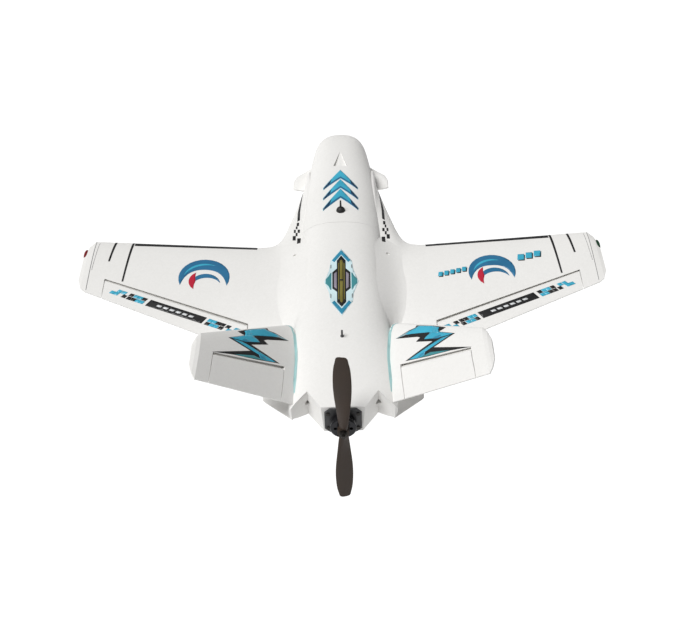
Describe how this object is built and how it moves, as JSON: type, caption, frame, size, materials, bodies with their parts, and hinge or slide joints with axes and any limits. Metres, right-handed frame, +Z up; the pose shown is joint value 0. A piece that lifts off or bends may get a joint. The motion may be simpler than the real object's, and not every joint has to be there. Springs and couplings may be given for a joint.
{
  "type": "rc foam airplane",
  "caption": "White moulded-foam radio-control aeroplane with a broad body, V-tail, pusher propeller, hinged elevons and ruddervators, lift-off hatch and blue trim.",
  "frame": {"origin": "centre of the flat underside of the belly skid, on the fuselage centreline", "axes": "+X to starboard, +Y forward towards the nose, +Z up"},
  "size_m": [0.8456, 0.7211, 0.2727],
  "materials": {
    "foam_white": "moulded foam bead",
    "foam_moving": "moulded foam bead",
    "prop_plastic": "glass-filled nylon",
    "black_plastic": "matte",
    "plate_plastic": "moulded",
    "skid_plastic": "vacuum formed",
    "bell_metal": "anodised",
    "steel": "machined",
    "carbon": "carbon tube",
    "servo_case": "moulded",
    "white_nylon": "nylon",
    "lamp_red": "tinted lens",
    "lamp_green": "tinted lens",
    "battery_wrap": "heat-shrink wrap",
    "strap": "woven",
    "electronics": "heat-shrink sleeve",
    "plywood": "plain",
    "antenna_rubber": "matte",
    "magnet": "plated"
  },
  "bodies": {
    "airframe": {"fuselage": "foam_white", "belly_skid": "skid_plastic", "equipment_tray": "plywood", "battery": "battery_wrap", "battery_strap": "strap", "speed_controller": "electronics", "receiver": "electronics", "spar_joiner": "black_plastic", "rear_antenna": "antenna_rubber", "hatch_magnets": "magnet", "motor_plate": "plate_plastic", "motor_base": "bell_metal", "motor_screws": "steel", "plate_screws": "steel", "wing_screws": "steel", "wing_starboard": "foam_white", "wingtip_starboard": "foam_white", "navigation_light_starboard": "lamp_green", "elevon_hinge_starboard": "steel", "elevon_servo_starboard": "servo_case", "wing_spar_starboard": "carbon", "tail_fin_starboard": "foam_white", "ruddervator_hinge_starboard": "steel", "ruddervator_servo_starboard": "servo_case", "ventral_fin_starboard": "foam_white", "nose_fin_starboard": "foam_white", "wing_port": "foam_white", "wingtip_port": "foam_white", "navigation_light_port": "lamp_red", "elevon_hinge_port": "steel", "elevon_servo_port": "servo_case", "wing_spar_port": "carbon", "tail_fin_port": "foam_white", "ruddervator_hinge_port": "steel", "ruddervator_servo_port": "servo_case", "ventral_fin_port": "foam_white", "nose_fin_port": "foam_white"},
    "hatch": {"canopy_hatch": "foam_white", "front_antenna": "antenna_rubber"},
    "spinner": {"motor_bell": "bell_metal", "motor_shaft": "steel", "propeller": "prop_plastic", "prop_nut": "steel"},
    "elevon_starboard_surface": {"elevon_starboard": "foam_moving", "elevon_horn_starboard": "white_nylon"},
    "elevon_starboard_arm_body": {"elevon_arm_starboard": "white_nylon"},
    "elevon_starboard_pushrod_body": {"elevon_pushrod_starboard": "steel"},
    "ruddervator_starboard_surface": {"ruddervator_starboard": "foam_moving", "ruddervator_horn_starboard": "white_nylon"},
    "ruddervator_starboard_arm_body": {"ruddervator_arm_starboard": "white_nylon"},
    "ruddervator_starboard_pushrod_body": {"ruddervator_pushrod_starboard": "steel"},
    "elevon_port_surface": {"elevon_port": "foam_moving", "elevon_horn_port": "white_nylon"},
    "elevon_port_arm_body": {"elevon_arm_port": "white_nylon"},
    "elevon_port_pushrod_body": {"elevon_pushrod_port": "steel"},
    "ruddervator_port_surface": {"ruddervator_port": "foam_moving", "ruddervator_horn_port": "white_nylon"},
    "ruddervator_port_arm_body": {"ruddervator_arm_port": "white_nylon"},
    "ruddervator_port_pushrod_body": {"ruddervator_pushrod_port": "steel"}
  },
  "joints": [
    {"name": "hatch_lift", "type": "slide", "parent": "airframe", "child": "hatch", "axis": [0, 0, 1], "range_m": [0, 0.08]},
    {"name": "propeller_spin", "type": "hinge", "parent": "airframe", "child": "spinner", "pos_m": [0, -0.378, 0.066], "axis": [0, -0.9945, 0.1045], "continuous": true},
    {"name": "elevon_starboard_hinge", "type": "hinge", "parent": "airframe", "child": "elevon_starboard_surface", "pos_m": [0.21476, -0.14672, 0.07297], "axis": [0.9311, 0.3546, 0.0857], "range_deg": [-25, 25]},
    {"name": "elevon_starboard_servo", "type": "hinge", "parent": "airframe", "child": "elevon_starboard_arm_body", "pos_m": [0.19623, -0.09813, 0.07321], "axis": [0.9311, 0.3546, 0.0857], "range_deg": [-25, 25]},
    {"name": "elevon_starboard_rod_pivot", "type": "hinge", "parent": "elevon_starboard_arm_body", "child": "elevon_starboard_pushrod_body", "pos_m": [0.19741, -0.09761, 0.05826], "axis": [0.9311, 0.3546, 0.0857], "range_deg": [-25, 25]},
    {"name": "ruddervator_starboard_hinge", "type": "hinge", "parent": "airframe", "child": "ruddervator_starboard_surface", "pos_m": [0.1142, -0.29248, 0.10973], "axis": [0.7602, -0.2817, 0.5854], "range_deg": [-25, 25]},
    {"name": "ruddervator_starboard_servo", "type": "hinge", "parent": "airframe", "child": "ruddervator_starboard_arm_body", "pos_m": [0.12313, -0.2541, 0.1166], "axis": [0.7602, -0.2817, 0.5854], "range_deg": [-25, 25]},
    {"name": "ruddervator_starboard_rod_pivot", "type": "hinge", "parent": "ruddervator_starboard_arm_body", "child": "ruddervator_starboard_pushrod_body", "pos_m": [0.13106, -0.2541, 0.1063], "axis": [0.7602, -0.2817, 0.5854], "range_deg": [-25, 25]},
    {"name": "elevon_port_hinge", "type": "hinge", "parent": "airframe", "child": "elevon_port_surface", "pos_m": [-0.21476, -0.14672, 0.07297], "axis": [0.9311, -0.3546, -0.0857], "range_deg": [-25, 25]},
    {"name": "elevon_port_servo", "type": "hinge", "parent": "airframe", "child": "elevon_port_arm_body", "pos_m": [-0.19623, -0.09813, 0.07321], "axis": [0.9311, -0.3546, -0.0857], "range_deg": [-25, 25]},
    {"name": "elevon_port_rod_pivot", "type": "hinge", "parent": "elevon_port_arm_body", "child": "elevon_port_pushrod_body", "pos_m": [-0.19741, -0.09761, 0.05826], "axis": [0.9311, -0.3546, -0.0857], "range_deg": [-25, 25]},
    {"name": "ruddervator_port_hinge", "type": "hinge", "parent": "airframe", "child": "ruddervator_port_surface", "pos_m": [-0.1142, -0.29248, 0.10973], "axis": [0.7602, 0.2817, -0.5854], "range_deg": [-25, 25]},
    {"name": "ruddervator_port_servo", "type": "hinge", "parent": "airframe", "child": "ruddervator_port_arm_body", "pos_m": [-0.12313, -0.2541, 0.1166], "axis": [0.7602, 0.2817, -0.5854], "range_deg": [-25, 25]},
    {"name": "ruddervator_port_rod_pivot", "type": "hinge", "parent": "ruddervator_port_arm_body", "child": "ruddervator_port_pushrod_body", "pos_m": [-0.13106, -0.2541, 0.1063], "axis": [0.7602, 0.2817, -0.5854], "range_deg": [-25, 25]}
  ],
  "couplings": [
    {"joint": "elevon_starboard_servo", "follows": "elevon_starboard_hinge", "ratio": 1},
    {"joint": "elevon_starboard_rod_pivot", "follows": "elevon_starboard_hinge", "ratio": -1},
    {"joint": "ruddervator_starboard_servo", "follows": "ruddervator_starboard_hinge", "ratio": 1},
    {"joint": "ruddervator_starboard_rod_pivot", "follows": "ruddervator_starboard_hinge", "ratio": -1},
    {"joint": "elevon_port_servo", "follows": "elevon_port_hinge", "ratio": 1},
    {"joint": "elevon_port_rod_pivot", "follows": "elevon_port_hinge", "ratio": -1},
    {"joint": "ruddervator_port_servo", "follows": "ruddervator_port_hinge", "ratio": 1},
    {"joint": "ruddervator_port_rod_pivot", "follows": "ruddervator_port_hinge", "ratio": -1}
  ]
}
